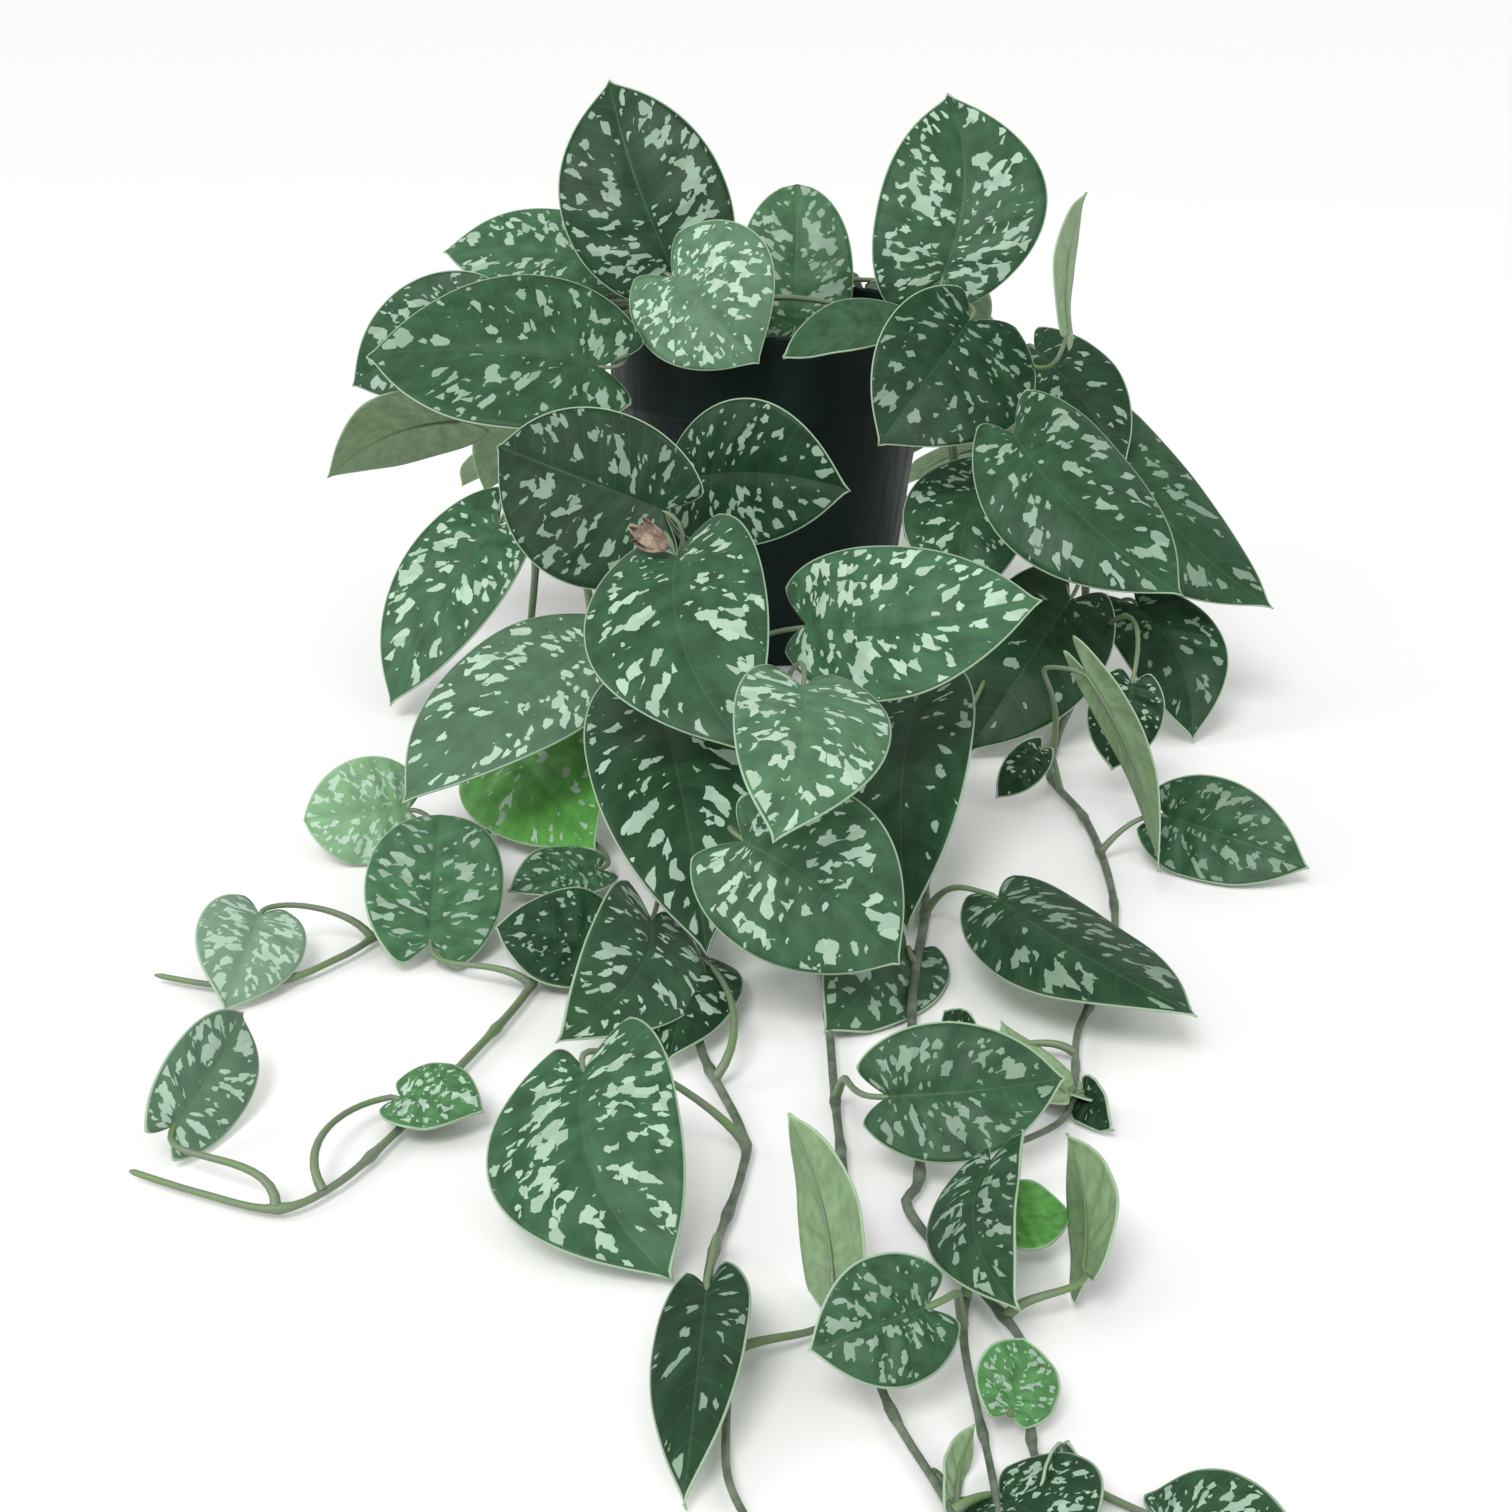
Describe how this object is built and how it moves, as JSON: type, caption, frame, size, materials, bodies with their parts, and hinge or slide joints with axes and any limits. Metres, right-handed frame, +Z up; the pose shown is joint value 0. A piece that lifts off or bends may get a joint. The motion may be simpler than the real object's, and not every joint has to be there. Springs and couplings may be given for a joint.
{
  "type": "potted trailing house plant",
  "caption": "Satin pothos with silver-flecked heart-shaped leaves on stems that come over the rim of a round nursery pot and lie along the surface.",
  "frame": {"origin": "centre of the underside of the pot, on the surface that it stands on", "axes": "+Z up along the pot's axis, -Y to the side that most of the stems trail to, +X to the right seen from that side"},
  "size_m": [0.3349, 0.7948, 0.2068],
  "materials": {
    "pot": "satin black plastic",
    "soil": "dark, rough and crumbly",
    "stem": "smooth grey-green stem",
    "leaf_deep": "satin dark green leaf",
    "leaf_middle": "satin green leaf",
    "leaf_bright": "satin young leaf",
    "leaf_pale": "dull pale underside"
  },
  "bodies": {
    "root": {"leaf_back_left_1": "leaf_deep", "leaf_back_left_2": "leaf_deep", "leaf_back_right_1": "leaf_deep", "leaf_back_right_2": "leaf_deep", "leaf_centre_1": "leaf_middle", "leaf_centre_2": "leaf_deep", "leaf_centre_3": "leaf_deep", "leaf_centre_4": "leaf_deep", "leaf_centre_5": "leaf_deep", "leaf_centre_6": "leaf_deep", "leaf_centre_7": "leaf_deep", "leaf_centre_8": "leaf_pale", "leaf_centre_9": "leaf_deep", "leaf_centre_right_1": "leaf_deep", "leaf_centre_right_2": "leaf_deep", "leaf_centre_right_3": "leaf_middle", "leaf_centre_right_4": "leaf_deep", "leaf_centre_right_5": "leaf_deep", "leaf_crown_1": "leaf_deep", "leaf_crown_2": "leaf_middle", "leaf_crown_3": "leaf_bright", "leaf_crown_4": "leaf_deep", "leaf_left_far_1": "leaf_pale", "leaf_left_far_2": "leaf_deep", "leaf_left_far_3": "leaf_bright", "leaf_left_far_4": "leaf_middle", "leaf_left_near_1": "leaf_deep", "leaf_left_near_2": "leaf_deep", "leaf_left_near_3": "leaf_bright", "leaf_left_near_4": "leaf_middle", "leaf_left_near_5": "leaf_middle", "leaf_left_near_6": "leaf_middle", "leaf_right_inner_1": "leaf_middle", "leaf_right_inner_2": "leaf_deep", "leaf_right_inner_3": "leaf_middle", "leaf_right_inner_4": "leaf_deep", "leaf_right_inner_5": "leaf_deep", "leaf_right_inner_6": "leaf_pale", "leaf_right_long_1": "leaf_deep", "leaf_right_long_2": "leaf_deep", "leaf_right_long_3": "leaf_deep", "leaf_right_long_4": "leaf_deep", "leaf_right_long_5": "leaf_deep", "leaf_right_long_6": "leaf_deep", "leaf_right_long_7": "leaf_pale", "leaf_right_long_8": "leaf_middle", "leaf_right_mid_1": "leaf_middle", "leaf_right_mid_2": "leaf_deep", "pot": "pot", "soil": "soil", "vine_back_left": "stem", "vine_back_right": "stem", "vine_centre": "stem", "vine_centre_right": "stem", "vine_crown": "stem", "vine_left_far": "stem", "vine_left_near": "stem", "vine_right_inner": "stem", "vine_right_long": "stem", "vine_right_mid": "stem"}
  },
  "joints": []
}
